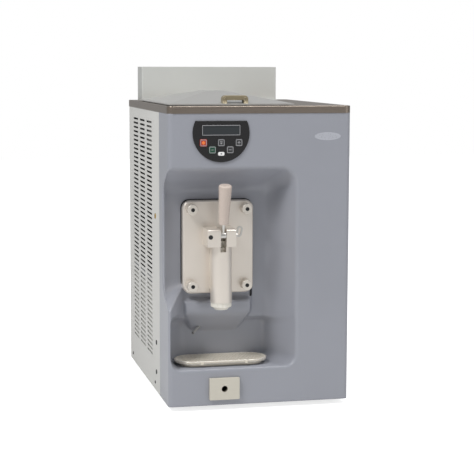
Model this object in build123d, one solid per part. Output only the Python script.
"""Counter-top soft-serve ice cream machine: a cabinet with a moulded front, a gravity hopper under a lid,
a refrigerated freezing cylinder with a belt-driven beater, a dispensing head with a lever and a piston,
an air-cooled condensing unit, a drip tray and a drip drawer.

Millimetres. +Z is up and +X is to the right of somebody who faces the front. The origin is the centre of
the bottom of the machine's bounding box: z = 0 is the surface that the feet stand on.
"""

import os
from math import cos, pi, radians, sin

from build123d import *

# ---------------------------------------------------------------- cabinet
body_w = 410.0  # outside width of the cabinet
body_d = 560.0  # front face to rear face
body_h = 660.0  # bottom edge to the top of the deck
foot_h = 12.0  # height of the feet under the bottom edge
foot_r = 16.0
foot_inset = 62.0  # foot centre from the cabinet's outer faces
sheet = 1.2  # side and rear panel sheet
fit_gap = 0.4  # gap between covers and the pieces beside them
rim_h = 16.0  # down-turned edge of the deck
deck_t = 1.5
deck_corner_r = 14.0
post_w = 17.0  # frame angle legs
post_t = 2.0
rail_h = 16.0  # frame cross rails
cradle_pitch = 176.0  # between the two rails under the cylinder
pan_t = 2.0  # base pan sheet
pan_flange_h = 8.0

# ---------------------------------------------------------------- moulded front
front_depth = 115.0  # how far the moulding wraps back along the sides
front_wall = 4.0
front_edge_r = 10.0
recess_right = 288.0  # recess right edge at the front face, from the cabinet's left
recess_top = 524.0  # recess top edge at the front face, above the cabinet's bottom edge
recess_floor = 81.0
upper_inset = 41.0  # how far the upper recess closes in from its front edge to its back wall
lower_inset = 47.0  # and the serving pocket
scoop_inset = 15.0  # the upper recess's left edge at its back wall
pocket_mid_depth = 74.0  # where the pocket's side walls turn in
pocket_mid_inset = 7.0
pocket_mid_right = 31.0
pocket_mid_top = 184.0
pocket_left_inset = 40.0
head_room = 38.0  # height of the serving pocket's mouth above its back ceiling
recess_left = 5.0  # left edge of the lower recess at the front face
scoop_over = 50.0  # how far the upper recess would run out past the left side
scoop_bottom = 214.0  # lowest point of the opening in the left side
upper_depth = 84.0  # depth of the wall that carries the head
lower_depth = 108.0  # depth of the serving pocket below it
pocket_top = 172.0  # ceiling of the serving pocket at its back wall
recess_r = 26.0
upper_over = 150.0  # the lower recess runs this far up into the upper one
bib_face = 65.0  # depth of the bib's upright face, below the head plate
bib_turn = 195.0  # height at which it starts to slope back
bib_low = 151.0  # height of its lower edge, on the pocket's back wall
bib_half = 73.5  # half its width at the turn
bib_low_half = 52.0  # and at its lower edge
bib_r = 10.0
spout_r = 3.0
spout_bore = 2.1
spout_mouth = (-54.0, 84.0, 148.0)  # from the head's centre line, the front face and the bottom edge
spout_root = (-33.0, 102.0, 162.0)

# ---------------------------------------------------------------- dispensing head
head_from_left = 124.0  # centre line of head and drawer, from the cabinet's left
plate_w = 160.0
plate_h = 208.0
plate_t = 22.0
plate_top = 449.5  # above the cabinet's bottom edge
plate_r = 18.0
knob_inset = 18.5  # knob centres from the plate's edges
knob_r = 12.0
knob_len = 22.0
flute_count = 8
flute_r = 1.6
flute_out = 0.6  # flute centres outside the knob's rim
socket_r = 4.5
stud_r = 4.0
body_r = 24.0  # vertical barrel that houses the piston
body_stand_off = 30.0  # its axis in front of the plate's face
piston_r = 11.5
slide_gap = 0.06  # radial running clearance of shafts in holes
outlet_z = 226.0  # bottom of the head's barrel, above the cabinet's bottom edge
body_top = 366.0
pivot_rise = 11.0  # lever pivot above the top of the barrel
arm_len = 22.0  # pivot to the finger's centre
arm_drop = 25.0  # degrees that the arm points below level at rest
finger_hub_r = 4.0
slot_play = 1.2  # finger's clearance in the piston's slot, above and below
pin_r = 4.0
pin_start = 15.0  # inner end of the pin from the left ear's outer face
loop_h = 24.0
loop_w = 13.0
loop_rod = 3.5
loop_tilt = 12.0
loop_rise = 8.0  # centre of the loop above the pin
lever_lean = 11.5  # grip's forward lean at rest, degrees
lever_w = 12.0
left_ear_t = 29.5
right_ear_t = 21.5
ear_rise = 14.0  # ear top above the pin
ear_front = 8.0  # ear front ahead of the pin
slot_end = 4.0  # wall left behind the lever slot
slot_below = 26.0  # lever slot below the barrel's top
screw_r = 5.0
screw_l = 12.0
plate_bevel = 2.5
thread_r = 18.0
thread_h = 8.0
port_r = 9.0
port_drop = 36.0
port_cover = 6.0  # closed piston's reach below the port
seal_above = 14.0
seal_h = 3.0
seal_deep = 2.0
nose_depth = 12.0
lever_gap = 0.5
grip_start = 27.0  # from the pivot along the lever
grip_end = 115.0
grip_top_r = 14.8
grip_low_r = 11.0
grip_bore = 50.0  # rod end inside the grip, past its start
hub_r = 7.5
finger_half = 5.0
arm_h = 6.0
arm_room = 14.0  # notch below the slot, for the arm when it points up
rod_r = 3.75
nozzle_h = 16.0
nut_h = 9.0  # fluted part of the nozzle
nut_flutes = 12
star_arms = 6
star_tip = 11.0
star_root = 6.0

# ---------------------------------------------------------------- control panel
panel_r = 63.0
panel_from_left = 116.5
panel_z = 601.5  # centre of the round outline, above the cabinet's bottom edge
panel_flat = 27.0  # flat top above the centre
panel_t = 3.0
panel_land = 4.0  # bezel's overlap on the moulding round its aperture
window_w = 84.0
window_h = 22.0
window_rise = 6.5  # window centre above the panel centre
key_size = 16.0
serve_key_w = 14.0
serve_key_h = 8.0
key_travel = 0.8
key_r = 3.0
key_gap = 0.3
key_stem = 4.4  # stem end behind the front face
board_y = 8.0  # board behind the front face
board_t = 1.6
upper_key_drop = 20.5  # upper row of keys below the panel centre
lower_key_drop = 36.0
key_pitch = 39.3
serve_key_drop = 44.5

# ---------------------------------------------------------------- top
hopper_w = 250.0
hopper_depth = 128.0
rear_clear = 125.0  # hopper and condenser end this far ahead of the cabinet's back
hopper_from_left = 23.0
hopper_from_front = 45.0
hopper_t = 1.5
hopper_r = 30.0
hopper_lip = 8.0  # flange that rests on the deck
lid_over = 15.0  # lid overhang past the hopper opening
lid_t = 1.2
lid_skirt = 2.2
lid_rise = 25.0  # apex above the skirt's top edge
lid_apex_w = 40.0
lid_apex_l = 60.0
handle_set_back = 3.0  # handle behind the lid's front edge
handle_bar = 4.5
handle_w = 74.0
handle_h = 18.0
handle_d = 20.0
handle_leg = 16.0
chimney_left = 21.0
chimney_w = 343.0
chimney_d = 70.0
chimney_h = 83.0
vent_count = 11  # slots in the chimney's top
vent_edge = 10.0
vent_w = 10.0

# ---------------------------------------------------------------- freezing cylinder and drive
barrel_r = 56.0
barrel_bore = 50.0
barrel_len = 236.0
jacket_t = 8.0
coil_turns = 16
foam_t = 20.0
neck_r = 15.0
neck_y = 66.0  # feed neck behind the head plate's face
beater_gap = 1.0
flight_w = 9.0
flight_t = 5.0
beater_turns = 1.5
shaft_r = 10.0
nose_r = 8.0
reducer_size = 108.0
reducer_len = 60.0
driven_r = 55.0
drive_r = 27.5
pulley_w = 18.0
drive_shaft_r = 7.0  # motor shaft and reducer stub
web_holes = 5
web_hole_r = 11.0
web_hole_at = 28.0
belt_t = 5.0
motor_r = 60.0
motor_len = 180.0
motor_fins = 20
motor_fin_t = 2.4
motor_fin_h = 8.0
band_w = 18.0  # end bells
motor_right = 165.0  # motor axis to the right of the beater axis
motor_drop = 95.0  # and below it

# ---------------------------------------------------------------- condensing unit
comp_r = 72.0
comp_h = 180.0
grommet_r = 9.0
cond_t = 40.0
cond_set_back = 70.0  # behind the moulded front
cond_h = 190.0
cond_fin_pitch = 5.0
cond_fin_gap = 3.0
cond_rows = 6  # hairpin tube ends
fan_share = 0.336  # fan radius over condenser length
fan_blades_n = 5
fan_motor_r = 30.0
pipe_set_off = 28.0  # liquid line behind the condenser

# ---------------------------------------------------------------- serving parts
tray_w = 207.0
tray_from_left = 129.0  # its centre, from the cabinet's left
tray_d = 82.0
tray_h = 10.0
tray_wall = 2.0
tray_foot_in = 9.0  # base inside the rim, clear of the recess's rounded corners
tray_set_back = 21.0  # tray's front edge behind the front face
grid_t = 1.5
grid_pitch = 8.0
grid_hole_r = 1.9
grid_edge = 8.0  # plain border round the holes
tab_at = 50.0  # front tabs either side of the tray's centre
tab_w = 6.0
grid_over = 1.5
drawer_plate_w = 68.0
drawer_plate_h = 49.0
drawer_plate_z = 37.5  # its centre above the cabinet's bottom edge
drawer_w = 52.0
drawer_h = 34.0
drawer_l = 290.0
drawer_wall = 1.2
drawer_proud = 8.0
finger_r = 7.0

# ---------------------------------------------------------------- side louvres
slot_l = 74.0
slot_h = 4.6
slot_pitch = 10.6
slot_low = 76.0  # centre of the lowest row above the cabinet's bottom edge
slot_high = 617.0
slot_shares = (0.3112, 0.5393, 0.764)  # column centres as shares of the side cover's length
filter_low = 62.0  # above the bottom edge
filter_clear = 9.1  # under the frame's cradle rails
filter_over = 48.0  # past the outer columns of slots
filter_t = 6.0
pleat_pitch = 8.0
pleat_r = 1.6

# ---------------------------------------------------------------- covers
# side cover fasteners: depth behind the front face, height above the bottom edge, head radius
fastener_places = ((159.0, 115.0, 5.5), (159.5, 46.0, 5.5), (177.0, 18.0, 3.5), (517.0, 18.0, 3.5))
head_proud = 1.6  # screw and lock heads outside the covers
shank_r = 2.0
lock_depth = 168.0  # behind the front face
lock_z = 406.0  # above the bottom edge
lock_r = 6.0
lock_turn_r = 4.5
lock_reach = 8.0  # the lock's barrel behind its cover
cam_t = 2.0
cam_w = 10.0
cam_below = 16.0
cam_above = 5.0
key_slot_w = 1.2
key_slot_h = 7.0
grille_low = 210.0  # lowest slots of the rear cover
grille_rows = 24
grille_pitch = 112.0  # between its three columns
grille_slot_l = 90.0
gland_out = 10.0  # gland nose behind the rear cover
gland_r = 11.0
gland_bore = 4.2
gland_flange = 4.0
gland_nut = 5.0
gland_x = 60.0  # from the cabinet's left
gland_z = 70.0  # above the bottom edge

# ---------------------------------------------------------------- derived places
plate_face = upper_depth - plate_t  # depth of the head plate's front face
body_axis = plate_face - body_stand_off  # depth of the piston's axis
pivot_depth = body_axis - arm_len * cos(radians(arm_drop))
grip_reach = grip_end * sin(radians(lever_lean)) + grip_top_r * cos(radians(lever_lean))
front_over = grip_reach - pivot_depth  # the grip's reach ahead of the front face
hopper_l = body_d - hopper_from_front - rear_clear
cond_l = body_d - front_depth - cond_set_back - rear_clear
fan_r = fan_share * cond_l
slot_cols = [front_depth + share * (body_d - front_depth) for share in slot_shares]
left = -body_w / 2
right = body_w / 2
front = -(body_d + gland_out - front_over) / 2
back = front + body_d
bottom = foot_h
top = foot_h + body_h
head_x = left + head_from_left
barrel_z = bottom + plate_top - plate_h / 2
piston_low = barrel_z - port_drop - port_r - port_cover
pivot_y = front + pivot_depth
pivot_z = bottom + body_top + pivot_rise
piston_y = front + body_axis
panel_x = left + panel_from_left
panel_mid_z = bottom + panel_z
cover_top = top - rim_h  # top edge of the front, side and rear covers
hopper_x = left + hopper_from_left + hopper_w / 2
hopper_y = front + hopper_from_front + hopper_l / 2
hopper_floor = top - hopper_depth
barrel_y0 = front + upper_depth + 0.2
barrel_y1 = barrel_y0 + barrel_len
ear_x0 = head_x - lever_w / 2 - lever_gap - left_ear_t
ear_x1 = head_x + lever_w / 2 + lever_gap + right_ear_t
screw_x = ear_x0 + 7.0
knob_xs = (head_x - plate_w / 2 + knob_inset, head_x + plate_w / 2 - knob_inset)
knob_zs = (bottom + plate_top - knob_inset, bottom + plate_top - plate_h + knob_inset)
neck_mid_y = front + plate_face + neck_y
belt_y0 = barrel_y1 + reducer_len + 14.0
motor_x = head_x + motor_right
motor_z = barrel_z - motor_drop
tray_x = left + tray_from_left
tray_y = front + tray_set_back + tray_d / 2
floor_z = bottom + recess_floor
drawer_z = bottom + drawer_plate_z
cond_x0 = left + 14.0
cond_y0 = front + front_depth + cond_set_back
fan_x = cond_x0 + cond_t + 22.0
fan_y = cond_y0 + cond_l / 2
fan_z = bottom + pan_t + 8.0 + cond_h / 2
drier_x = head_x + 62.0
cradle_top = barrel_z - barrel_r - jacket_t - foam_t - fit_gap
cradle_end = motor_x - motor_r - 10.0  # the rear cradle rail stops at a leg beside the motor
drier_z0 = fan_z - 30.0
drier_z1 = fan_z + 50.0
foam_r = barrel_r + jacket_t + foam_t
riser_z = barrel_z - foam_r - 30.0
riser_y = barrel_y1 - 60.0
riser_top = barrel_z - (foam_r**2 - (drier_x - head_x) ** 2) ** 0.5 - 4.0
comp_x = right - comp_r - 20.0
comp_y = back - comp_r - 20.0
comp_z0 = bottom + pan_t + 8.0


def block(x0, x1, y0, y1, z0, z1):
    """A box between two corners."""
    return Pos((x0 + x1) / 2, (y0 + y1) / 2, (z0 + z1) / 2) * Box(x1 - x0, y1 - y0, z1 - z0)


def rod_x(r, y, z, x0, x1):
    """A round bar along X."""
    return Pos((x0 + x1) / 2, y, z) * Rot(0, 90, 0) * Cylinder(r, x1 - x0)


def rod_y(r, x, z, y0, y1):
    """A round bar along Y."""
    return Pos(x, (y0 + y1) / 2, z) * Rot(90, 0, 0) * Cylinder(r, y1 - y0)


def rod_z(r, x, y, z0, z1):
    """A round bar along Z."""
    return Pos(x, y, (z0 + z1) / 2) * Cylinder(r, z1 - z0)


def facing(y):
    """A sketch plane at depth y: local x is +X, local y is +Z, and extrude runs towards the front."""
    return Plane(origin=(0, y, 0), x_dir=(1, 0, 0), z_dir=(0, -1, 0))


def pane(x0, x1, z0, z1, r, y):
    """A rounded rectangle that stands upright at depth y."""
    outline = Pos((x0 + x1) / 2, (z0 + z1) / 2) * RectangleRounded(x1 - x0, z1 - z0, r)
    return facing(y) * outline


def funnel(near, far, r_near, r_far, y_near, y_far):
    """A tapering cavity between two upright rounded rectangles (x0, x1, z0, z1)."""
    return loft([pane(*near, r_near, y_near), pane(*far, r_far, y_far)], ruled=True)


def swept_tube(r, points, bend):
    """A round tube along straight runs joined by arcs."""
    path = FilletPolyline(*points, radius=bend)
    start = Plane(origin=path @ 0, z_dir=path % 0)
    return sweep(start * Circle(r), path=path)


# ================================================================= cabinet
def feet():
    """Four low rubber feet with a bevelled tread."""
    parts = []
    for sx in (left + foot_inset, right - foot_inset):
        for sy in (front + foot_inset, back - foot_inset):
            foot = rod_z(foot_r, sx, sy, 0, foot_h)
            parts.append(chamfer(foot.edges().group_by(Axis.Z)[0], 2.0))
    return Compound(parts)


def base_pan():
    """Folded tray that carries the condensing unit; its flanges stand inside the covers."""
    x0 = left + front_wall + fit_gap
    x1 = right - front_wall - fit_gap
    y0 = front + front_wall + fit_gap
    y1 = back - sheet - fit_gap
    pan = block(x0, x1, y0, y1, bottom, bottom + pan_flange_h)
    pan -= block(x0 + pan_t, x1 - pan_t, y0 + pan_t, y1 - pan_t, bottom + pan_t, bottom + pan_flange_h)
    return pan + drawer_guide()


def frame():
    """Welded frame: four angle posts, side and rear top rails, and two rails under the cylinder."""
    x0 = left + sheet + fit_gap
    x1 = right - sheet - fit_gap
    y0 = front + front_depth + fit_gap
    y1 = back - sheet - fit_gap
    z0 = bottom + pan_flange_h + fit_gap
    z1 = cover_top - fit_gap
    posts = []
    for px, sx in ((x0, 1), (x1, -1)):
        for py, sy in ((y0, 1), (y1, -1)):
            xs = sorted((px, px + sx * post_w))
            ys = sorted((py, py + sy * post_w))
            thin_x = sorted((px, px + sx * post_t))
            thin_y = sorted((py, py + sy * post_t))
            posts.append(block(*xs, *thin_y, z0, z1) + block(*thin_x, *ys, z0, z1))
    welded = posts[0] + posts[1] + posts[2] + posts[3]
    welded += block(x0, x0 + post_t, y0, y1, z1 - rail_h, z1)
    welded += block(x1 - post_t, x1, y0, y1, z1 - rail_h, z1)
    welded += block(x0, x1, y1 - post_t, y1, z1 - rail_h, z1)
    for y, x_end in ((y0, x1), (y0 + cradle_pitch, cradle_end)):
        welded += block(x0, x_end, y, y + post_t, cradle_top - rail_h, cradle_top)
        welded += block(x0, x_end, y, y + rail_h, cradle_top - post_t, cradle_top)
    leg_y = y0 + cradle_pitch
    welded += block(cradle_end - rail_h, cradle_end, leg_y, leg_y + post_t, bottom + pan_t, cradle_top)
    welded += block(cradle_end - post_t, cradle_end, leg_y, leg_y + rail_h, bottom + pan_t, cradle_top)
    for x in (x0, x1 - post_t):
        welded += block(x, x + post_t, y0, y1, cradle_top - rail_h, cradle_top)
    return welded


def recess(grow):
    """The cavity moulded into the front, grown outwards by a wall thickness where its skin is wanted."""
    def span(x0, x1, z0, z1):
        return (left + x0 - grow, left + x1 + grow, bottom + z0 - grow, bottom + z1 + grow)

    y0 = front - 1.0
    y_up = front + upper_depth + grow
    y_mid = front + pocket_mid_depth
    y_low = front + lower_depth + grow
    lower_top = scoop_bottom + upper_over
    upper = funnel(
        span(-scoop_over, recess_right, scoop_bottom, recess_top),
        span(scoop_inset, recess_right - upper_inset, scoop_bottom + upper_inset, recess_top - upper_inset),
        recess_r + 10.0 + grow, recess_r - 6.0 + grow, y0, y_up)
    lower = funnel(
        span(recess_left, recess_right, recess_floor, lower_top),
        span(recess_left + upper_inset, recess_right - upper_inset, recess_floor, lower_top),
        recess_r + grow, recess_r - 8.0 + grow, y0, y_up)
    mid_left = recess_left + pocket_mid_inset
    mid = span(mid_left, recess_right - pocket_mid_right, recess_floor, pocket_mid_top)
    mouth = funnel(
        span(recess_left, recess_right, recess_floor, pocket_top + head_room), mid,
        recess_r + grow, recess_r - 4.0 + grow, y0, y_mid)
    pocket = funnel(
        mid, span(recess_left + pocket_left_inset, recess_right - lower_inset, recess_floor, pocket_top),
        recess_r - 4.0 + grow, recess_r - 10.0 + grow, y_mid, y_low)
    return upper + lower + mouth + pocket


def bib(inset):
    """Raised moulding below the head plate, upright and then sloping back to the pocket's rear wall."""
    z_top = bottom + plate_top - plate_h - fit_gap - inset
    z_turn = bottom + bib_turn
    z_low = bottom + bib_low + inset
    y_face = front + bib_face + inset
    y_low = front + lower_depth - 2.0
    y_back = front + front_depth + 1.0
    half = bib_half - inset
    half_low = bib_low_half - inset
    right_edge = [(half_low, z_low), (half, z_turn), (half, z_top)]
    left_edge = [(-half, z_top), (-half, z_turn), (-half_low, z_low)]
    outline = Polyline(*[(head_x + x, z) for x, z in left_edge + right_edge], close=True)
    raised = extrude(facing(y_back) * make_face(outline), amount=y_back - y_face)
    rows = raised.edges().filter_by(Axis.Y).group_by(Axis.Z)
    raised = fillet(rows[0] + rows[1], bib_r - inset)
    slope = [(y_face, z_top), (y_face, z_turn), (y_low, z_low), (y_back, z_low), (y_back, z_top)]
    profile = Polyline(*slope, close=True)
    side = Plane(origin=(head_x - bib_half, 0, 0), x_dir=(0, 1, 0), z_dir=(1, 0, 0))
    return raised & extrude(side * make_face(profile), amount=2 * bib_half)


def front_panel():
    """One moulding: front face, side returns, recess, ledge and bib, with an open back."""
    y1 = front + front_depth
    skin = block(left, right, front, y1, bottom, cover_top)
    upright = skin.edges().filter_by(Axis.Z).group_by(Axis.Y)[0]
    skin = fillet(upright, front_edge_r)
    hollow = block(left + front_wall, right - front_wall, front + front_wall, y1,
                   bottom - 1.0, cover_top + 1.0)
    envelope = block(left, right, front, y1, bottom, cover_top)
    moulding = (skin - hollow) + (recess(front_wall) & envelope & skin)
    moulding -= recess(0.0)
    moulding += bib(0.0) & envelope
    moulding -= bib(front_wall)
    # cylinder mouth and studs, drawer, control panel and drip spout
    moulding -= rod_y(barrel_r + 1.0, head_x, barrel_z, front + 60.0, y1 + 1.0)
    for x in knob_xs:
        for z in knob_zs:
            moulding -= rod_y(stud_r + 0.5, x, z, front + 60.0, y1 + 1.0)
    seat_z = bottom + plate_top - plate_h - fit_gap
    moulding -= block(head_x - plate_w / 2 - fit_gap, head_x + plate_w / 2 + fit_gap,
                      front + 60.0, front + upper_depth, seat_z, barrel_z)
    half_w, half_h = drawer_w / 2 + 2.4, drawer_h / 2 + 2.4
    moulding -= block(head_x - half_w, head_x + half_w, front - 1.0, front + front_wall + 1.0,
                      drawer_z - half_h, drawer_z + half_h)
    aperture = Pos(panel_x, panel_mid_z) * panel_outline(-panel_land)
    moulding -= extrude(facing(front + front_wall + 1.0) * aperture, amount=front_wall + 2.0)
    moulding -= spout(spout_r + fit_gap / 2)
    return moulding


def louvred_side(x0):
    """Side cover with three columns of slots and folded front and rear edges."""
    y0, y1 = front + front_depth + fit_gap, back
    cover = block(x0, x0 + sheet, y0, y1, bottom, cover_top)
    rows = int((slot_high - slot_low) / slot_pitch) + 1
    side = Plane(origin=(x0, 0, 0), x_dir=(0, 1, 0), z_dir=(1, 0, 0))
    centres = [(front + y, bottom + slot_high - i * slot_pitch) for y in slot_cols for i in range(rows)]
    slots = Sketch() + [Pos(*c) * SlotOverall(slot_l, slot_h) for c in centres]
    cover -= extrude(side * slots, amount=sheet * 3, both=True)
    return cover


def left_side_panel():
    """Left cover, with the lock's hole."""
    cover = louvred_side(left) - fastener_holes(left)
    lock_y = front + lock_depth
    return cover - rod_x(lock_turn_r + slide_gap, lock_y, bottom + lock_z, left - 1.0, left + sheet + 1.0)


def right_side_panel():
    """Right cover, the left one mirrored without the lock."""
    cover = louvred_side(right - sheet)
    return cover - fastener_holes(right - sheet)


def fastener_holes(x0):
    """Clearance holes for the shanks of one side cover's screws."""
    hole_r = shank_r + fit_gap / 2
    x1 = x0 + sheet + 1.0
    return Compound([rod_x(hole_r, front + y, bottom + z, x0 - 1.0, x1) for y, z, _ in fastener_places])


def panel_lock():
    """Quarter-turn lock barrel with a key slot and a cam behind the left cover."""
    y, z = front + lock_depth, bottom + lock_z
    cam_x = left + sheet + lock_reach / 2
    barrel = rod_x(lock_r, y, z, left - head_proud, left)
    barrel += rod_x(lock_turn_r, y, z, left, left + sheet + lock_reach)
    barrel += block(cam_x, cam_x + cam_t, y - cam_w / 2, y + cam_w / 2, z - cam_below, z + cam_above)
    key_slot = Pos(left - head_proud, y, z) * Box(2.0, key_slot_w, key_slot_h)
    return barrel - key_slot


def panel_screws():
    """Pan-head screws and round plugs that hold both side covers."""
    parts = []
    for side, x_face, x_in in ((-1, left, left + sheet), (1, right, right - sheet)):
        for y, z, r in fastener_places:
            head = rod_x(r, front + y, bottom + z, *sorted((x_face, x_face + side * head_proud)))
            head = fillet(head.edges().group_by(Axis.X)[0 if side < 0 else -1], 1.0)
            shank = rod_x(shank_r, front + y, bottom + z, *sorted((x_face, x_in - side * 1.0)))
            parts.append(head + shank)
    return Compound(parts)


def rear_panel():
    """Rear cover between the side covers, with an air grille and the mains gland's hole."""
    x0 = left + sheet + fit_gap
    x1 = right - sheet - fit_gap
    cover = block(x0, x1, back - sheet, back, bottom, cover_top)
    columns = (-grille_pitch, 0.0, grille_pitch)
    centres = [(x, bottom + grille_low + i * slot_pitch) for x in columns for i in range(grille_rows)]
    slots = Sketch() + [Pos(*c) * SlotOverall(grille_slot_l, slot_h) for c in centres]
    cover -= extrude(facing(back) * slots, amount=sheet * 3, both=True)
    cover -= rod_y(gland_r - 3.0, left + gland_x, bottom + gland_z, back - 3.0, back + 3.0)
    return cover


def cable_gland():
    """Empty screwed gland for a mains lead, with its lock nut inside the rear cover."""
    x, z = left + gland_x, bottom + gland_z
    hexagon = Pos(x, z) * RegularPolygon(gland_r, 6)
    flange = extrude(facing(back + gland_flange) * hexagon, amount=gland_flange)
    nose = rod_y(gland_r - 2.5, x, z, back, back + gland_out)
    nose = chamfer(nose.edges().group_by(Axis.Y)[-1], 1.5)
    neck = rod_y(gland_r - 3.2, x, z, back - sheet - gland_nut - 1.0, back)
    nut = extrude(facing(back - sheet) * hexagon, amount=gland_nut)
    return flange + nose + neck + nut - rod_y(gland_bore, x, z, back - 20.0, back + gland_out + 1.0)


def air_filter():
    """Pleated filter mat behind the lower slots of the left cover."""
    x0 = left + sheet + 1.5
    y0, y1 = front + slot_cols[0] - filter_over, front + slot_cols[-1] + filter_over
    z0, z1 = bottom + filter_low, cradle_top - rail_h - filter_clear
    mat = block(x0, x0 + filter_t, y0, y1, z0, z1)
    count = int((y1 - y0) / pleat_pitch) - 1
    pleats = [rod_z(pleat_r, x0, y0 + (i + 1) * pleat_pitch, z0 - 1.0, z1 + 1.0) for i in range(count)]
    return mat - Compound(pleats)


# ================================================================= top
def top_deck():
    """Steel deck with a down-turned edge and the hopper's opening."""
    deck = block(left - 1.0, right + 1.0, front - 1.0, back, top - rim_h, top)
    deck = fillet(deck.edges().filter_by(Axis.Z).group_by(Axis.Y)[0], deck_corner_r)
    deck = fillet(deck.faces().sort_by(Axis.Z)[-1].edges(), 2.0)
    inner = block(left - 1.0 + deck_t, right + 1.0 - deck_t, front - 1.0 + deck_t, back - deck_t,
                  top - rim_h - 1.0, top - deck_t)
    inner = fillet(inner.edges().filter_by(Axis.Z).group_by(Axis.Y)[0], deck_corner_r - deck_t)
    deck -= inner
    opening = Pos(hopper_x, hopper_y, top) * Box(hopper_w + 2 * fit_gap, hopper_l + 2 * fit_gap, 20.0)
    deck -= fillet(opening.edges().filter_by(Axis.Z), hopper_r)
    duct_x0 = left + chimney_left + 8.0
    duct_x1 = duct_x0 + chimney_w - 16.0
    deck -= block(duct_x0, duct_x1, back - chimney_d + 8.0, back - 12.0, top - 5.0, top + 1.0)
    return deck


def air_chimney():
    """Folded upstand over the rear air outlet: closed front and sides, and a slotted top."""
    x0, x1 = left + chimney_left, left + chimney_left + chimney_w
    y0, y1 = back - chimney_d, back - 2.0
    z0, z1 = top, top + chimney_h
    duct = block(x0, x1, y0, y1, z0, z1)
    duct = fillet(duct.edges().filter_by(Axis.Z), 3.0)
    duct -= block(x0 + deck_t, x1 - deck_t, y0 + deck_t, y1 - deck_t, z0 - 1.0, z1 - deck_t)
    pitch = (x1 - x0 - 2 * vent_edge) / vent_count
    slot = Rot(0, 0, 90) * SlotOverall(y1 - y0 - 2 * vent_edge, vent_w)
    y_mid = (y0 + y1) / 2
    vents = Sketch() + [Pos(x0 + vent_edge + (i + 0.5) * pitch, y_mid) * slot for i in range(vent_count)]
    duct -= extrude(Plane(origin=(0, 0, z1)) * vents, amount=deck_t * 3, both=True)
    flange = block(x0, x1, y0 - 10.0, y0 + deck_t, z0, z0 + deck_t)
    return duct + flange


def hopper():
    """Deep-drawn mix hopper with a resting lip and the neck that feeds the cylinder."""
    def tub(grow, z0, z1):
        size = (hopper_w + 2 * grow, hopper_l + 2 * grow, z1 - z0)
        shape = Pos(hopper_x, hopper_y, (z0 + z1) / 2) * Box(*size)
        return fillet(shape.edges().filter_by(Axis.Z), hopper_r + grow)

    shell = tub(0.0, hopper_floor, top + hopper_t)
    shell = fillet(shell.faces().sort_by(Axis.Z)[0].edges(), 14.0)
    inside = tub(-hopper_t, hopper_floor + hopper_t, top + 2 * hopper_t)
    inside = fillet(inside.faces().sort_by(Axis.Z)[0].edges(), 12.0)
    lip = tub(hopper_lip, top, top + hopper_t)
    neck_top = barrel_z + barrel_r - 2.0
    neck = rod_z(neck_r, head_x, neck_mid_y, neck_top, hopper_floor + hopper_t)
    bore = rod_z(neck_r - hopper_t, head_x, neck_mid_y, neck_top - 1.0, hopper_floor + 2 * hopper_t + 1.0)
    return shell + lip + neck - inside - bore


def hopper_lid():
    """Shallow folded hip lid: four slopes to a low apex, over a skirt that drops round the hopper lip."""
    w = hopper_w + 2 * lid_over
    l = hopper_l + 2 * lid_over
    z0 = top + hopper_t + 0.4
    z_edge = z0 + lid_skirt

    def hip(inset, drop):
        base = Plane(origin=(hopper_x, hopper_y, z_edge - drop)) * Rectangle(w - 2 * inset, l - 2 * inset)
        top_plane = Plane(origin=(hopper_x, hopper_y, z_edge + lid_rise - drop))
        return loft([base, top_plane * Rectangle(lid_apex_w, lid_apex_l)], ruled=True)

    def skirt(inset, z_low, z_high):
        size = (w - 2 * inset, l - 2 * inset, z_high - z_low)
        return Pos(hopper_x, hopper_y, (z_low + z_high) / 2) * Box(*size)

    outer = skirt(0.0, z0 - 0.3, z_edge) + hip(0.0, 0.0)
    inner = skirt(lid_t, z0 - 1.0, z_edge - lid_t) + hip(lid_t, lid_t)
    return outer - inner


def lid_handle():
    """Bridge handle at the front edge of the lid: two legs, a bar and a finger window."""
    edge_y = hopper_y - hopper_l / 2 - lid_over
    edge_z = top + hopper_t + fit_gap + lid_skirt
    slope = lid_rise / (hopper_l / 2 + lid_over - lid_apex_l / 2)
    y0, y1 = edge_y + handle_set_back, edge_y + handle_set_back + handle_d
    x0, x1 = hopper_x - handle_w / 2, hopper_x + handle_w / 2
    handle = block(x0, x1, y0, y1, edge_z, edge_z + handle_h)
    handle = fillet(handle.edges().filter_by(Axis.Y).group_by(Axis.Z)[-1], 3.0)
    bar_z = edge_z + handle_h - handle_bar
    handle -= block(x0 + handle_leg, x1 - handle_leg, y0 - 1.0, y1 + 1.0, edge_z - 1.0, bar_z)
    low = edge_y - 5.0
    high = edge_y + handle_d + 10.0
    wedge = Polyline((low, edge_z - 10.0), (high, edge_z - 10.0), (high, edge_z + slope * (high - edge_y)),
                     (low, edge_z + slope * (low - edge_y)), close=True)
    side = Plane(origin=(x0 - 1.0, 0, 0), x_dir=(0, 1, 0), z_dir=(1, 0, 0))
    return handle - extrude(side * make_face(wedge), amount=handle_w + 2.0)


def feed_tube():
    """Loose regulator tube that stands in the hopper's neck; turning it opens or closes its feed hole."""
    z0, z1 = barrel_z + barrel_r + 6.0, top - 34.0
    r = neck_r - hopper_t - 0.5
    tube = rod_z(r, head_x, neck_mid_y, z0, z1) - rod_z(r - 1.5, head_x, neck_mid_y, z0 - 1.0, z1 + 1.0)
    tube -= rod_y(4.0, head_x, hopper_floor + hopper_t + 9.0, neck_mid_y - r - 2.0, neck_mid_y)
    collar = rod_z(r + 5.0, head_x, neck_mid_y, z1 - 5.0, z1)
    collar -= rod_z(r - 1.5, head_x, neck_mid_y, z1 - 6.0, z1 + 1.0)
    return tube + collar


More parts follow.
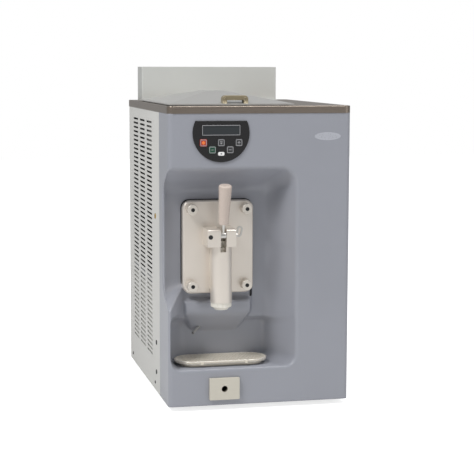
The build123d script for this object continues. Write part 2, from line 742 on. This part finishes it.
# ================================================================= freezing cylinder
def freezing_cylinder():
    """Stainless cylinder with the square front flange that takes the studs, and a rear end wall."""
    y0, y1 = barrel_y0, barrel_y1
    tube = rod_y(barrel_r, head_x, barrel_z, y0, y1)
    flange_y = front + upper_depth + front_wall + 0.3
    flange = block(head_x - plate_w / 2, head_x + plate_w / 2, flange_y, flange_y + 8.0,
                   barrel_z - plate_h / 2, barrel_z + plate_h / 2)
    flange = fillet(flange.edges().filter_by(Axis.Y), plate_r)
    body = tube + flange - rod_y(barrel_bore, head_x, barrel_z, y0 - 1.0, y1 - 8.0)
    body -= rod_y(shaft_r + 6.0, head_x, barrel_z, y1 - 9.0, y1 + 1.0)
    body -= rod_z(neck_r - hopper_t, head_x, neck_mid_y, barrel_z, barrel_z + barrel_r + 1.0)
    pocket = rod_z(neck_r + 0.2, head_x, neck_mid_y, barrel_z + barrel_r - 2.0, barrel_z + barrel_r + 1.0)
    for x in knob_xs:
        for z in knob_zs:
            body -= rod_y(stud_r - 0.2, x, z, flange_y - 1.0, flange_y + 9.0)
    return body - pocket


def ring_y(r_out, r_in, y0, y1):
    """A sleeve on the cylinder's axis."""
    return rod_y(r_out, head_x, barrel_z, y0, y1) - rod_y(r_in, head_x, barrel_z, y0 - 1.0, y1 + 1.0)


def neck_clearance():
    """Room for the hopper's neck through the jacket and the foam."""
    return rod_z(neck_r + 0.3, head_x, neck_mid_y, barrel_z, barrel_z + 200.0)


def evaporator_jacket():
    """Evaporator coil round the cylinder: flat copper rings brazed side by side."""
    y0, y1 = barrel_y0 + 22.0, barrel_y1 - 8.0
    jacket = ring_y(barrel_r + jacket_t - 2.0, barrel_r + 0.1, y0, y1)
    pitch = (y1 - y0) / coil_turns
    for i in range(coil_turns):
        y = y0 + i * pitch
        jacket += ring_y(barrel_r + jacket_t, barrel_r + 0.1, y + 1.5, y + pitch - 1.5)
    return jacket - neck_clearance()


def insulation():
    """Foam sleeve round the evaporator, with an end disc behind the cylinder."""
    y0, y1 = barrel_y0 + 14.0, barrel_y1 - 2.0
    r_in = barrel_r + jacket_t + 0.3
    return ring_y(r_in + foam_t - 0.3, r_in, y0, y1) - neck_clearance()


def beater():
    """Open beater: two helical flights on spokes round a shaft, with a nose journal and a drive shank."""
    y0 = front + upper_depth - 3.0
    y_in0, y_in1 = barrel_y0 + 6.0, barrel_y1 - 14.0
    r_out = barrel_bore - beater_gap
    length = y_in1 - y_in0
    section = Pos(r_out - flight_w / 2, 0) * Rectangle(flight_w, flight_t)
    axis_start = Plane(origin=(head_x, y_in0, barrel_z), x_dir=(1, 0, 0), z_dir=(0, 1, 0))
    shape = rod_y(nose_r, head_x, barrel_z, y_in0, y_in1)
    for turn in (0, 180):
        face = axis_start * (Rot(0, 0, turn) * section)
        run = Vector(0, length, 0)
        shape += Solid.extrude_linear_with_rotation(
            face.faces()[0], center=axis_start.origin, normal=run, angle=360 * beater_turns)
    for y in (y_in0, y_in0 + length / 3, y_in0 + 2 * length / 3, y_in1 - 6.0):
        turn = 360 * beater_turns * (y + 3.0 - y_in0) / length
        spoke = Pos(head_x, y + 3.0, barrel_z) * Rot(0, -turn, 0) * Box(2 * r_out - 3.0, 6.0, 9.0)
        shape += spoke
    nose = rod_y(nose_r, head_x, barrel_z, y0, y_in0 + 1.0)
    shank = rod_y(shaft_r, head_x, barrel_z, y_in1 - 1.0, barrel_y1 + 30.0)
    return shape + nose + shank


def shaft_seal():
    """Lip seal pressed into the end wall round the beater's shank."""
    return ring_y(shaft_r + 6.0, shaft_r + slide_gap, barrel_y1 - 8.0, barrel_y1 + 1.0)


def gear_reducer():
    """Coaxial reducer: finned housing with an output socket and an input stub."""
    half = reducer_size / 2
    y0, y1 = barrel_y1 + 4.0, barrel_y1 + 4.0 + reducer_len
    house = block(head_x - half, head_x + half, y0, y1, barrel_z - half, barrel_z + half)
    house = fillet(house.edges().filter_by(Axis.Y), 16.0)
    for i in range(3):
        groove = block(head_x - half - 1, head_x + half + 1, y0 + 12.0 + i * 14.0, y0 + 18.0 + i * 14.0,
                       barrel_z - half - 1, barrel_z + half + 1)
        core = block(head_x - half + 5, head_x + half - 5, y0, y1, barrel_z - half + 5, barrel_z + half - 5)
        house -= groove - fillet(core.edges().filter_by(Axis.Y), 12.0)
    house -= rod_y(shaft_r + slide_gap, head_x, barrel_z, y0 - 1.0, barrel_y1 + 31.0)
    foot_z = barrel_z - barrel_r - jacket_t - foam_t
    rail_y = front + front_depth + fit_gap + cradle_pitch
    foot = block(head_x - 30.0, head_x + 30.0, rail_y + 2.0, y0 + 20.0, foot_z, foot_z + 6.0)
    web = block(head_x - 5.0, head_x + 5.0, y0, y0 + 20.0, foot_z, barrel_z - half + 2.0)
    stub = rod_y(drive_shaft_r, head_x, barrel_z, y1, belt_y0 + pulley_w)
    foot = foot - ring_y(barrel_r + jacket_t + foam_t + 1.0, 0.1, barrel_y0, barrel_y1 - 1.0)
    return house + web + foot + stub


def pulley(x, z, r, bore):
    """A V-pulley rim on the belt plane."""
    y0, y1 = belt_y0, belt_y0 + pulley_w
    wheel = rod_y(r + 3.0, x, z, y0, y1)
    inner, outer = r - belt_t - 1.0, r + 4.0
    corners = [(inner, y0 + 5.5), (outer, y0 + 2.0), (outer, y1 - 2.0), (inner, y1 - 5.5)]
    groove = Polyline(*corners, close=True)
    turned = revolve(Plane(origin=(x, 0, z), x_dir=(1, 0, 0), z_dir=(0, 0, 1)) * make_face(groove),
                     axis=Axis((x, 0, z), (0, 1, 0)))
    wheel -= turned
    return wheel - rod_y(bore + slide_gap, x, z, y0 - 1.0, y1 + 1.0)


def driven_pulley():
    """Large pulley on the reducer's stub, with round holes through its web."""
    wheel = pulley(head_x, barrel_z, driven_r, drive_shaft_r)
    for i in range(web_holes):
        a = 2 * pi * i / web_holes
        x = head_x + web_hole_at * cos(a)
        z = barrel_z + web_hole_at * sin(a)
        wheel -= rod_y(web_hole_r, x, z, belt_y0 - 1.0, belt_y0 + pulley_w + 1.0)
    return wheel


def motor_pulley():
    """Small pulley on the motor's shaft."""
    return pulley(motor_x, motor_z, drive_r, drive_shaft_r)


def belt_outline(extra):
    """Open-belt outline round both pulleys, grown outwards by extra."""
    hull = make_hull((Pos(head_x, barrel_z) * Circle(driven_r + extra)).edges()
                     + (Pos(motor_x, motor_z) * Circle(drive_r + extra)).edges())
    return hull


def drive_belt():
    """Open belt round both pulleys, at its pitch line."""
    y_mid = belt_y0 + pulley_w / 2
    ring = facing(y_mid + 3.5) * (belt_outline(0.0) - belt_outline(-belt_t + 0.6))
    return extrude(ring, amount=7.0)


def motor():
    """Foot-mounted drive motor with a finned stator and an end bell."""
    y1 = belt_y0 - 8.0
    y0 = y1 - motor_len
    core_r = motor_r - motor_fin_h / 2
    box_z = motor_z + motor_r - 8.0
    can = rod_y(core_r, motor_x, motor_z, y0, y1)
    for i in range(motor_fins):
        fin = Pos(motor_x, (y0 + y1) / 2, motor_z) * Rot(0, i * 360.0 / motor_fins, 0) * Pos(core_r, 0, 0)
        can += fin * Box(motor_fin_h, motor_len - 50.0, motor_fin_t)
    can += rod_y(motor_r, motor_x, motor_z, y1 - band_w, y1)
    can += rod_y(motor_r, motor_x, motor_z, y0 + 6.0, y0 + 2.0 + band_w)
    can += block(motor_x - 20.0, motor_x + 20.0, y0 + 50.0, y1 - 50.0, box_z, box_z + 24.0)
    hanger = block(motor_x + motor_r - 10.0, right - sheet - post_t - 2 * fit_gap, y0 + 40.0, y1 - 40.0,
                   cradle_top - rail_h - 8.0, cradle_top - rail_h - fit_gap)
    shaft = rod_y(drive_shaft_r, motor_x, motor_z, y1, belt_y0 + pulley_w)
    return can + hanger + shaft


# ================================================================= condensing unit
def compressor():
    """Welded compressor can on a foot plate with rubber grommets."""
    can = rod_z(comp_r, comp_x, comp_y, comp_z0 + 4.0, comp_z0 + comp_h)
    can = fillet(can.edges().group_by(Axis.Z)[-1], 30.0)
    seam = rod_z(comp_r + 4.0, comp_x, comp_y, comp_z0 + 62.0, comp_z0 + 66.0)
    box_x = comp_x - comp_r
    plate = Pos(comp_x, comp_y, comp_z0 + 2.0) * Box(2 * comp_r, 2 * comp_r - 20.0, 4.0)
    box = block(box_x - 12.0, box_x + 12.0, comp_y - 24.0, comp_y + 24.0, comp_z0 + 80.0, comp_z0 + 130.0)
    return can + seam + plate + box


def compressor_grommets():
    """Rubber grommets between the compressor's foot plate and the base pan."""
    stands = []
    for sx in (-1, 1):
        for sy in (-1, 1):
            x = comp_x + sx * (comp_r - 14.0)
            y = comp_y + sy * (comp_r - 24.0)
            stands.append(rod_z(grommet_r, x, y, bottom + pan_t, comp_z0))
    return Compound(stands)


def condenser():
    """Fin-and-tube condenser: two header plates, a fin pack and hairpin tube ends."""
    z0, z1 = fan_z - cond_h / 2, fan_z + cond_h / 2
    y0, y1 = cond_y0, cond_y0 + cond_l
    pack = block(cond_x0 + 4.0, cond_x0 + cond_t - 4.0, y0 + 2.0, y1 - 2.0, z0 + 3.0, z1 - 3.0)
    cuts = []
    for i in range(int((cond_l - 8.0) / cond_fin_pitch)):
        y = y0 + (i + 1) * cond_fin_pitch
        cuts.append(block(cond_x0 + 3.0, cond_x0 + 10.0, y, y + cond_fin_gap, z0 + 2.0, z1 - 2.0))
    pack -= Compound(cuts)
    for y in (y0, y1 - 2.0):
        pack += block(cond_x0, cond_x0 + cond_t, y, y + 2.0, z0, z1)
    for i in range(cond_rows):
        z = z0 + cond_h * (i + 0.5) / cond_rows
        bend = Pos(cond_x0 + cond_t / 2, y0, z) * Torus(9.0, 4.0)
        pack += bend & block(cond_x0, cond_x0 + cond_t, y0 - 20.0, y0 + 1.0, z - 6.0, z + 6.0)
    feet_z = bottom + pan_t
    for y in (y0 + 10.0, y1 - 30.0):
        pack += block(cond_x0 + 6.0, cond_x0 + cond_t - 6.0, y, y + 20.0, feet_z, z0 + 4.0)
    return pack


def fan_shroud():
    """Square shroud with a round throat and three struts that hold the fan motor."""
    x0 = cond_x0 + cond_t + fit_gap
    half = fan_r + 8.0
    shroud = block(x0, x0 + 30.0, fan_y - half, fan_y + half, fan_z - half, fan_z + half)
    shroud -= rod_x(fan_r + 3.0, fan_y, fan_z, x0 + 4.0, x0 + 31.0)
    shroud -= rod_x(fan_r - 4.0, fan_y, fan_z, x0 - 1.0, x0 + 5.0)
    outer = rod_x(fan_r + 20.0, fan_y, fan_z, x0 + 30.0, x0 + 34.0)
    ring = outer - rod_x(fan_r + 3.0, fan_y, fan_z, x0 + 29.0, x0 + 35.0)
    shroud += ring & block(x0, x0 + 40.0, fan_y - half, fan_y + half, fan_z - half, fan_z + half)
    for i in range(3):
        strut = Pos(x0 + 32.0, fan_y, fan_z) * Rot(90 + i * 120.0, 0, 0)
        strut = strut * Pos(0, (fan_r + fan_motor_r) / 2 + 4.0, 0)
        shroud += strut * Box(4.0, fan_r - fan_motor_r + 6.0, 10.0)
    shroud += rod_x(fan_motor_r + 4.0, fan_y, fan_z, x0 + 30.0, x0 + 34.0)
    return shroud - rod_x(fan_motor_r - 12.0, fan_y, fan_z, x0 + 29.0, x0 + 35.0)


def fan_motor():
    """Round motor behind the shroud's struts, with the fan's shaft."""
    x0 = cond_x0 + cond_t + fit_gap + 34.0
    can = rod_x(fan_motor_r, fan_y, fan_z, x0, x0 + 46.0)
    can = fillet(can.edges().group_by(Axis.X)[-1], 6.0)
    return can + rod_x(4.0, fan_y, fan_z, fan_x - 8.0, x0)


def fan_blades():
    """Axial fan wheel: a hub and pitched blades."""
    hub = rod_x(20.0, fan_y, fan_z, fan_x - 9.0, fan_x + 6.0)
    wheel = hub
    for i in range(fan_blades_n):
        turn = Rot(i * 360.0 / fan_blades_n, 0, 0)
        blade = Pos(fan_x - 2.0, fan_y, fan_z) * turn * Pos(0, (fan_r + 18.0) / 2, 0) * Rot(0, 28.0, 0)
        vane = blade * Box(2.0, fan_r - 18.0, 22.0)
        wheel += vane
    wheel = wheel & rod_x(fan_r, fan_y, fan_z, fan_x - 14.0, fan_x + 12.0)
    return wheel - rod_x(4.0 + slide_gap, fan_y, fan_z, fan_x - 15.0, fan_x + 15.0)


def filter_drier():
    """Filter drier in the liquid line."""
    drier = rod_z(10.0, drier_x, cond_y0 + cond_l + pipe_set_off, drier_z0, drier_z1)
    return fillet(drier.edges(), 6.0)


def refrigerant_pipes():
    """Discharge line to the condenser, liquid line to the drier, and the riser to the evaporator."""
    x_mid = cond_x0 + cond_t / 2
    y_line = cond_y0 + cond_l + pipe_set_off
    y_end = cond_y0 + cond_l
    z_out = comp_z0 + 150.0
    z_in = fan_z - cond_h / 2 + 20.0
    y_out = comp_y + 20.0
    discharge = swept_tube(4.0, [
        (comp_x - comp_r + 1.0, y_out, z_out), (x_mid, y_out, z_out), (x_mid, y_end, z_out)], 18.0)
    liquid = swept_tube(3.0, [
        (x_mid, y_end, z_in), (x_mid, y_line, z_in),
        (drier_x, y_line, z_in), (drier_x, y_line, drier_z0)], 12.0)
    riser = swept_tube(3.0, [
        (drier_x, y_line, drier_z1), (drier_x, y_line, riser_z), (drier_x, riser_y, riser_z),
        (drier_x, riser_y, riser_top)], 6.0)
    return Compound([discharge, liquid, riser])


def electrical_box():
    """Steel box for contactor and transformer on the right side, with a lipped cover."""
    x0, x1 = right - sheet - post_t - 96.0, right - sheet - post_t - 2.0
    y0, y1 = front + front_depth + 40.0, front + front_depth + 230.0
    z0, z1 = hopper_floor - 110.0, cover_top - 60.0
    box = block(x0, x1, y0, y1, z0, z1)
    box = fillet(box.edges().filter_by(Axis.X), 4.0)
    box -= block(x0 + 2.0, x1 - 2.0, y0 + 2.0, y1 - 2.0, z0 + 2.0, z1 - 2.0)
    lid = block(x0 - 3.0, x0, y0 - 3.0, y1 + 3.0, z0 - 3.0, z1 + 3.0)
    contactor = block(x1 - 52.0, x1 - 2.0, y0 + 20.0, y0 + 70.0, z0 + 40.0, z0 + 120.0)
    return box + lid + contactor


# ================================================================= control panel
def panel_outline(grow):
    """Round outline with a flat top."""
    disc = Circle(panel_r + grow)
    cap = Pos(0, panel_flat + grow + panel_r) * Rectangle(4 * panel_r, 2 * panel_r)
    return disc - cap


def key_places():
    """Each key's centre from the panel's centre, with its width and height."""
    return {
        "stop_key": (-key_pitch, -upper_key_drop, key_size, key_size),
        "select_key": (0.0, -upper_key_drop, key_size, key_size),
        "plus_key": (key_pitch, -upper_key_drop, key_size, key_size),
        "start_key": (-key_pitch / 2, -lower_key_drop, key_size, key_size),
        "minus_key": (key_pitch / 2, -lower_key_drop, key_size, key_size),
        "serve_key": (0.0, -serve_key_drop, serve_key_w, serve_key_h),
    }


def control_bezel():
    """Dark bezel plate with openings for the window and the keys."""
    plate = extrude(facing(front) * (Pos(panel_x, panel_mid_z) * panel_outline(0.0)), amount=panel_t)
    plate = fillet(plate.faces().sort_by(Axis.Y)[0].edges(), 0.8)
    pane_hole = Rectangle(window_w + 2 * key_gap, window_h + 2 * key_gap)
    openings = Pos(panel_x, panel_mid_z + window_rise) * pane_hole
    for x, z, w, h in key_places().values():
        outline = RectangleRounded(w + 2 * key_gap, h + 2 * key_gap, key_r + key_gap)
        openings += Pos(panel_x + x, panel_mid_z + z) * outline
    return plate - extrude(facing(front + 1.0) * openings, amount=panel_t + 3.0)


def display_window():
    """Clear pane over the display."""
    window = Pos(panel_x, panel_mid_z + window_rise) * Rectangle(window_w, window_h)
    return extrude(facing(front + 3.0) * window, amount=panel_t + 2.0)


def panel_key(name):
    """A key cap whose stem reaches its switch on the board."""
    x, z, w, h = key_places()[name]
    cap = extrude(facing(front + 1.2) * (Pos(panel_x + x, panel_mid_z + z) * RectangleRounded(w, h, key_r)),
                  amount=panel_t + 2.0)
    cap = fillet(cap.faces().sort_by(Axis.Y)[0].edges(), 0.6)
    return cap + rod_y(2.5, panel_x + x, panel_mid_z + z, front + 1.2, front + key_stem)


def control_board():
    """Circuit board on stand-offs behind the bezel, with the display's backlight and the key switches."""
    y0 = front + board_y
    board = block(panel_x - window_w / 2, panel_x + window_w / 2, y0, y0 + board_t,
                  panel_mid_z - serve_key_drop - 3.0, panel_mid_z + 19.0)
    mid = panel_mid_z + window_rise
    board += block(panel_x - window_w / 2 + 1.0, panel_x + window_w / 2 - 1.0, front + 3.3, y0,
                   mid - window_h / 2 + 1.0, mid + window_h / 2 - 1.0)
    for x, z, _, _ in key_places().values():
        board += rod_y(3.0, panel_x + x, panel_mid_z + z, front + key_stem + key_travel + key_gap, y0)
    for sx in (-1, 1):
        board += rod_y(3.0, panel_x + sx * 36.0, panel_mid_z - serve_key_drop + 4.0, y0, y0 + 14.0)
    board += block(panel_x - 20.0, panel_x + 20.0, y0 + board_t, y0 + 12.0,
                   panel_mid_z - 30.0, panel_mid_z - 12.0)
    return board


# ================================================================= dispensing head
def dispensing_head():
    """Machined head: plate, vertical piston barrel with its flow port, and two ears for the lever pin."""
    x, z_top = head_x, bottom + plate_top
    y_face, y_back = front + plate_face, front + upper_depth
    plate = block(x - plate_w / 2, x + plate_w / 2, y_face, y_back, z_top - plate_h, z_top)
    plate = fillet(plate.edges().filter_by(Axis.Y), plate_r)
    plate = chamfer(plate.faces().sort_by(Axis.Y)[0].edges(), plate_bevel)
    z0, z1 = bottom + outlet_z, bottom + body_top
    tube = rod_z(body_r, x, piston_y, z0, z1)
    web = block(x - body_r + 4.0, x + body_r - 4.0, piston_y, y_face + 1.0, z0 + 26.0, z1)
    thread = rod_z(thread_r, x, piston_y, z0 - thread_h, z0 + 1.0)
    ear_top = pivot_z + ear_rise
    ears = block(ear_x0, ear_x1, pivot_y - ear_front, y_face + 1.0, z1 - 14.0, ear_top)
    ears = fillet(ears.edges().filter_by(Axis.X).group_by(Axis.Z)[-1][0], 6.0)
    head = plate + tube + web + thread + ears
    # bore, lever slot, flow port, journal for the beater's nose, then pin, screw and stud holes
    lever_half = lever_w / 2 + lever_gap
    head -= rod_z(piston_r + slide_gap, x, piston_y, z0 - thread_h - 1.0, ear_top + 1.0)
    head -= block(x - lever_half, x + lever_half, pivot_y - ear_front - 1.0, y_face - slot_end,
                  z1 - slot_below, ear_top + 1.0)
    head -= rod_y(port_r, x, barrel_z - port_drop, piston_y, y_back + 1.0)
    head -= rod_y(nose_r + slide_gap, x, barrel_z, y_back - nose_depth, y_back + 1.0)
    head -= rod_x(pin_r + slide_gap, pivot_y, pivot_z, ear_x0 + pin_start - 1.0, ear_x1 + 1.0)
    ear_y = pivot_y - ear_front
    head -= rod_y(screw_r + slide_gap, screw_x, pivot_z - 3.0, ear_y - 1.0, ear_y + screw_l)
    for kx in knob_xs:
        for kz in knob_zs:
            head -= rod_y(stud_r + 0.3, kx, kz, y_face - 1.0, y_back + 1.0)
    return head - ring_y(barrel_bore + 4.5, barrel_bore + 1.5, y_back - 2.2, y_back + 1.0)


def flow_screw():
    """Slotted screw in the left ear that limits how far the piston opens."""
    y0 = pivot_y - ear_front
    z = pivot_z - 3.0
    screw = rod_y(screw_r, screw_x, z, y0 + 0.5, y0 + screw_l - 0.5)
    return screw - block(screw_x - 0.8, screw_x + 0.8, y0, y0 + 2.0, z - screw_r - 1.0, z + screw_r + 1.0)


def head_gasket():
    """Seal ring between the head and the cylinder's mouth."""
    y_back = front + upper_depth
    return ring_y(barrel_bore + 4.3, barrel_bore + 1.7, y_back - 2.0, y_back + 0.2)


def head_studs():
    """Four studs screwed into the cylinder's flange."""
    y0 = front + plate_face - knob_len + 6.5
    y1 = front + upper_depth + front_wall + 8.3
    studs = []
    for x in knob_xs:
        for z in knob_zs:
            studs.append(rod_y(stud_r - 0.2, x, z, y0, y1))
    return Compound(studs)


def head_knobs():
    """Four round hand nuts with fluted rims and a dark blind socket in each end."""
    y1 = front + plate_face
    y0 = y1 - knob_len
    knobs = []
    for x in knob_xs:
        for z in knob_zs:
            knob = rod_y(knob_r, x, z, y0, y1)
            knob = fillet(knob.edges().group_by(Axis.Y)[0], 1.8)
            for i in range(flute_count):
                a = 2 * pi * (i + 0.5) / flute_count
                flute_x = x + (knob_r + flute_out) * cos(a)
                flute_z = z + (knob_r + flute_out) * sin(a)
                knob -= rod_y(flute_r, flute_x, flute_z, y0 - 1.0, y1 - 6.0)
            knob -= rod_y(stud_r - 0.1, x, z, y0 + 6.0, y1 + 1.0)
            knobs.append(knob - rod_y(socket_r, x, z, y0 - 1.0, y0 + 4.0))
    return Compound(knobs)


def piston():
    """Piston with a cross slot that the lever's finger works, and two seal grooves."""
    finger = lever_finger_z(0.0)
    z0, z1 = piston_low, finger + 2.4 * finger_hub_r
    body = rod_z(piston_r, head_x, piston_y, z0, z1)
    body = chamfer(body.edges().group_by(Axis.Z)[-1], 1.5)
    for z in seal_heights():
        body -= seal_ring(piston_r + 1.0, z, z + seal_h)
    half = finger_hub_r + slot_play
    slot = block(head_x - piston_r - 1.0, head_x + piston_r + 1.0, piston_y - piston_r - 1.0,
                 piston_y + 0.62 * piston_r, finger - half, finger + half)
    notch = block(head_x - finger_half - 1.0, head_x + finger_half + 1.0, piston_y - piston_r - 1.0,
                  piston_y - 1.0, finger - half - arm_room, z1 + 1.0)
    return body - slot - notch


def seal_heights():
    """Lower edges of the piston's two seal grooves."""
    return (piston_low + 1.5, piston_low + 2 * port_r + seal_above)


def piston_seals():
    """O-rings in the piston's grooves."""
    rings = []
    for z in seal_heights():
        rings.append(seal_ring(piston_r - 0.05, z + 0.1, z + seal_h - 0.1))
    return Compound(rings)


def seal_ring(r, z0, z1):
    """A flat ring round the piston, from its groove's root out to radius r."""
    core = rod_z(piston_r - seal_deep, head_x, piston_y, z0 - 1.0, z1 + 1.0)
    return rod_z(r, head_x, piston_y, z0, z1) - core


def lever_finger_z(turn):
    """Height of the finger's centre when the lever has turned by that many degrees."""
    return pivot_z + arm_len * sin(radians(turn - arm_drop))


def lever():
    """Steel lever: hub on the pin, finger into the piston, and the rod that carries the grip."""
    half = lever_w / 2
    pivot = Pos(head_x, pivot_y, pivot_z)
    hub = rod_x(hub_r, pivot_y, pivot_z, head_x - half, head_x + half)
    finger = rod_x(finger_hub_r, piston_y, lever_finger_z(0.0), head_x - finger_half, head_x + finger_half)
    arm = pivot * Rot(-arm_drop, 0, 0) * Pos(0, arm_len / 2, 0) * Box(2 * finger_half, arm_len, arm_h)
    rod_l = grip_start + grip_bore
    rod = pivot * Rot(lever_lean, 0, 0) * Pos(0, 0, rod_l / 2) * Cylinder(rod_r, rod_l)
    body = hub + finger + arm + rod
    return body - rod_x(pin_r + slide_gap, pivot_y, pivot_z, head_x - half - 1.0, head_x + half + 1.0)


def lever_grip():
    """Tapered moulded grip with a domed end, pressed on the lever's rod."""
    length = grip_end - grip_start
    lean = Pos(head_x, pivot_y, pivot_z) * Rot(lever_lean, 0, 0)
    grip = Pos(0, 0, grip_start + length / 2) * Cone(grip_low_r, grip_top_r, length)
    rims = grip.edges().filter_by(GeomType.CIRCLE).sort_by(Axis.Z)
    grip = fillet(rims[-1], 4.5)
    bore = Pos(0, 0, (grip_start + grip_bore) / 2) * Cylinder(rod_r, grip_start + grip_bore)
    return lean * (grip - bore)


def pivot_pin():
    """Pull-out pivot pin with a tilted pull loop at its right end."""
    x0, x1 = ear_x0 + pin_start, ear_x1 + 4.0
    pin = rod_x(pin_r, pivot_y, pivot_z, x0, x1)
    inside = SlotOverall(loop_h - 2 * loop_rod, loop_w - 2 * loop_rod, rotation=90)
    outline = SlotOverall(loop_h, loop_w, rotation=90) - inside
    eye = Pos(x1 + loop_w / 2 - 2.0, pivot_y, pivot_z + loop_rise) * Rot(0, loop_tilt, 0) * Rot(90, 0, 0)
    return pin + eye * extrude(outline, amount=1.6, both=True)


def star_nozzle():
    """Screw-on outlet with a star-shaped opening."""
    z1 = bottom + outlet_z - 0.3
    z0 = z1 - nozzle_h
    cap = rod_z(body_r - 1.0, head_x, piston_y, z1 - nut_h, z1)
    cone_h = nozzle_h - nut_h
    cap += Pos(head_x, piston_y, z1 - nut_h - cone_h / 2) * Cone(body_r - 10.0, body_r - 3.0, cone_h)
    for i in range(nut_flutes):
        a = 2 * pi * i / nut_flutes
        x = head_x + (body_r - 0.4) * cos(a)
        y = piston_y + (body_r - 0.4) * sin(a)
        cap -= rod_z(flute_r, x, y, z1 - nut_h - 0.5, z1 + 1.0)
    cap -= rod_z(thread_r + 0.1, head_x, piston_y, z1 - thread_h - 0.1, z1 + 1.0)
    points = []
    for i in range(2 * star_arms):
        r = star_root if i % 2 else star_tip
        a = pi * i / star_arms
        points.append((head_x + r * cos(a), piston_y + r * sin(a)))
    star = Plane(origin=(0, 0, z0 - 1.0)) * make_face(Polyline(*points, close=True))
    return cap - extrude(star, amount=nozzle_h + 2.0)


def spout(r):
    """A slanted rod from the drain's mouth under the bib to its root behind the moulding."""
    mouth, root = [Vector(head_x + x, front + y, bottom + z) for x, y, z in (spout_mouth, spout_root)]
    run = root - mouth
    return Plane(origin=mouth, z_dir=run).location * Pos(0, 0, run.length / 2) * Cylinder(r, run.length)


def drip_spout():
    """Small stainless tube that drains the seal behind the head."""
    return spout(spout_r) - spout(spout_bore)


# ================================================================= serving parts
def stadium(w, d, z, grow=0.0):
    """The tray's oval outline at height z."""
    return Plane(origin=(tray_x, tray_y, z)) * SlotOverall(w + 2 * grow, d + 2 * grow)


def drip_tray():
    """Shallow oval tray with a rolled rim, which stands on the ledge."""
    outer = extrude(stadium(tray_w, tray_d, floor_z + 0.2, -tray_foot_in), amount=tray_h)
    outer = chamfer(outer.edges().group_by(Axis.Z)[0], 2.0)
    rim = extrude(stadium(tray_w, tray_d, floor_z + tray_h - 2.3), amount=2.5)
    inner_z = floor_z + 0.2 + tray_wall
    inner = extrude(stadium(tray_w, tray_d, inner_z, -tray_foot_in - tray_wall), amount=tray_h)
    return outer + rim - inner


def drip_grid():
    """Perforated steel cover with a skirt and two locating tabs."""
    z1 = floor_z + 14.0
    z_skirt = floor_z + tray_h + 0.6
    plate = extrude(stadium(tray_w, tray_d, z_skirt, grid_over), amount=z1 - z_skirt)
    plate = fillet(plate.edges().group_by(Axis.Z)[-1], 1.4)
    under = stadium(tray_w, tray_d, z_skirt - 1.0, grid_over - grid_t)
    plate -= extrude(under, amount=z1 - z_skirt + 1.0 - grid_t)
    holes = []
    rows = int((tray_d - 14.0) / grid_pitch)
    cols = int((tray_w - 20.0) / grid_pitch)
    for j in range(rows):
        v = (j - (rows - 1) / 2) * grid_pitch
        shift = grid_pitch / 2 if j % 2 else 0.0
        for i in range(cols):
            u = (i - (cols - 1) / 2) * grid_pitch + shift
            over = max(0.0, abs(u) - (tray_w - tray_d) / 2)
            if (over * over + v * v) ** 0.5 < tray_d / 2 - grid_edge:
                holes.append(Pos(u, v) * Circle(grid_hole_r))
    field = Plane(origin=(tray_x, tray_y, z1 - 4.0)) * (Sketch() + holes)
    plate -= extrude(field, amount=6.0)
    y_edge = tray_y - tray_d / 2 - grid_over
    for x in (tray_x - tab_at, tray_x + tab_at):
        plate += Pos(x, y_edge, z_skirt - 1.0) * Box(tab_w, 1.6, 6.0)
    return plate


def drip_drawer():
    """Leak drawer: folded front with a finger hole, and a long open trough."""
    x, z = head_x, drawer_z
    hw, hh = drawer_plate_w / 2, drawer_plate_h / 2
    y0, y_face = front - drawer_proud, front - fit_gap
    face = block(x - hw, x + hw, y0, y_face, z - hh, z + hh)
    face = fillet(face.edges().filter_by(Axis.Y), 2.0)
    face = fillet(face.faces().sort_by(Axis.Y)[0].edges(), 1.0)
    face -= block(x - hw + 1.5, x + hw - 1.5, y0 + 1.5, y_face + 1.0, z - hh + 1.5, z + hh - 1.5)
    tw, th = drawer_w / 2, drawer_h / 2
    trough = block(x - tw, x + tw, y0 + 1.0, y0 + drawer_l, z - th, z + th)
    trough -= block(x - tw + drawer_wall, x + tw - drawer_wall, y0 + 12.0, y0 + drawer_l - drawer_wall,
                    z - th + drawer_wall, z + th + 1.0)
    finger = rod_y(finger_r, x, z, y0 - 1.0, y0 + 13.0)
    return face + trough - finger


def drawer_guide():
    """Channel on the base pan in which the drawer runs."""
    x, z = head_x, drawer_z
    tw, th = drawer_w / 2 + fit_gap, drawer_h / 2 + fit_gap
    y0, y1 = front + front_wall + pan_t + 3 * fit_gap, front + drawer_l - 6.0
    sleeve = block(x - tw - 1.5, x + tw + 1.5, y0, y1, z - th - 1.5, z + th + 1.5)
    sleeve -= block(x - tw, x + tw, y0 - 1.0, y1 - 1.5, z - th, z + th)
    sleeve -= block(x - tw + 8.0, x + tw - 8.0, y0 - 1.0, y1 + 1.0, z + th - 1.0, z + th + 3.0)
    for y in (y0 + 20.0, y1 - 40.0):
        foot = block(x - tw - 1.5, x + tw + 1.5, y, y + 20.0, bottom + pan_t, z - th - 1.0)
        sleeve += foot
    return sleeve


PARTS = (
    feet, base_pan, frame, front_panel, left_side_panel, right_side_panel, panel_screws, panel_lock,
    rear_panel, cable_gland, air_filter, top_deck, air_chimney, hopper, hopper_lid, lid_handle, feed_tube,
    freezing_cylinder, evaporator_jacket, insulation, beater, shaft_seal, gear_reducer, driven_pulley,
    motor_pulley, drive_belt, motor, compressor, compressor_grommets, condenser, fan_shroud, fan_motor,
    fan_blades, refrigerant_pipes, filter_drier, electrical_box, control_bezel, display_window,
    control_board, dispensing_head, head_gasket, head_studs, head_knobs, piston, piston_seals, lever,
    lever_grip, pivot_pin, flow_screw, star_nozzle, drip_spout, drip_tray, drip_grid, drip_drawer,
)


def main():
    os.makedirs("parts", exist_ok=True)
    for make in PARTS:
        export_step(make(), f"parts/{make.__name__}.step")
    for name in key_places():
        export_step(panel_key(name), f"parts/{name}.step")


if __name__ == "__main__":
    main()
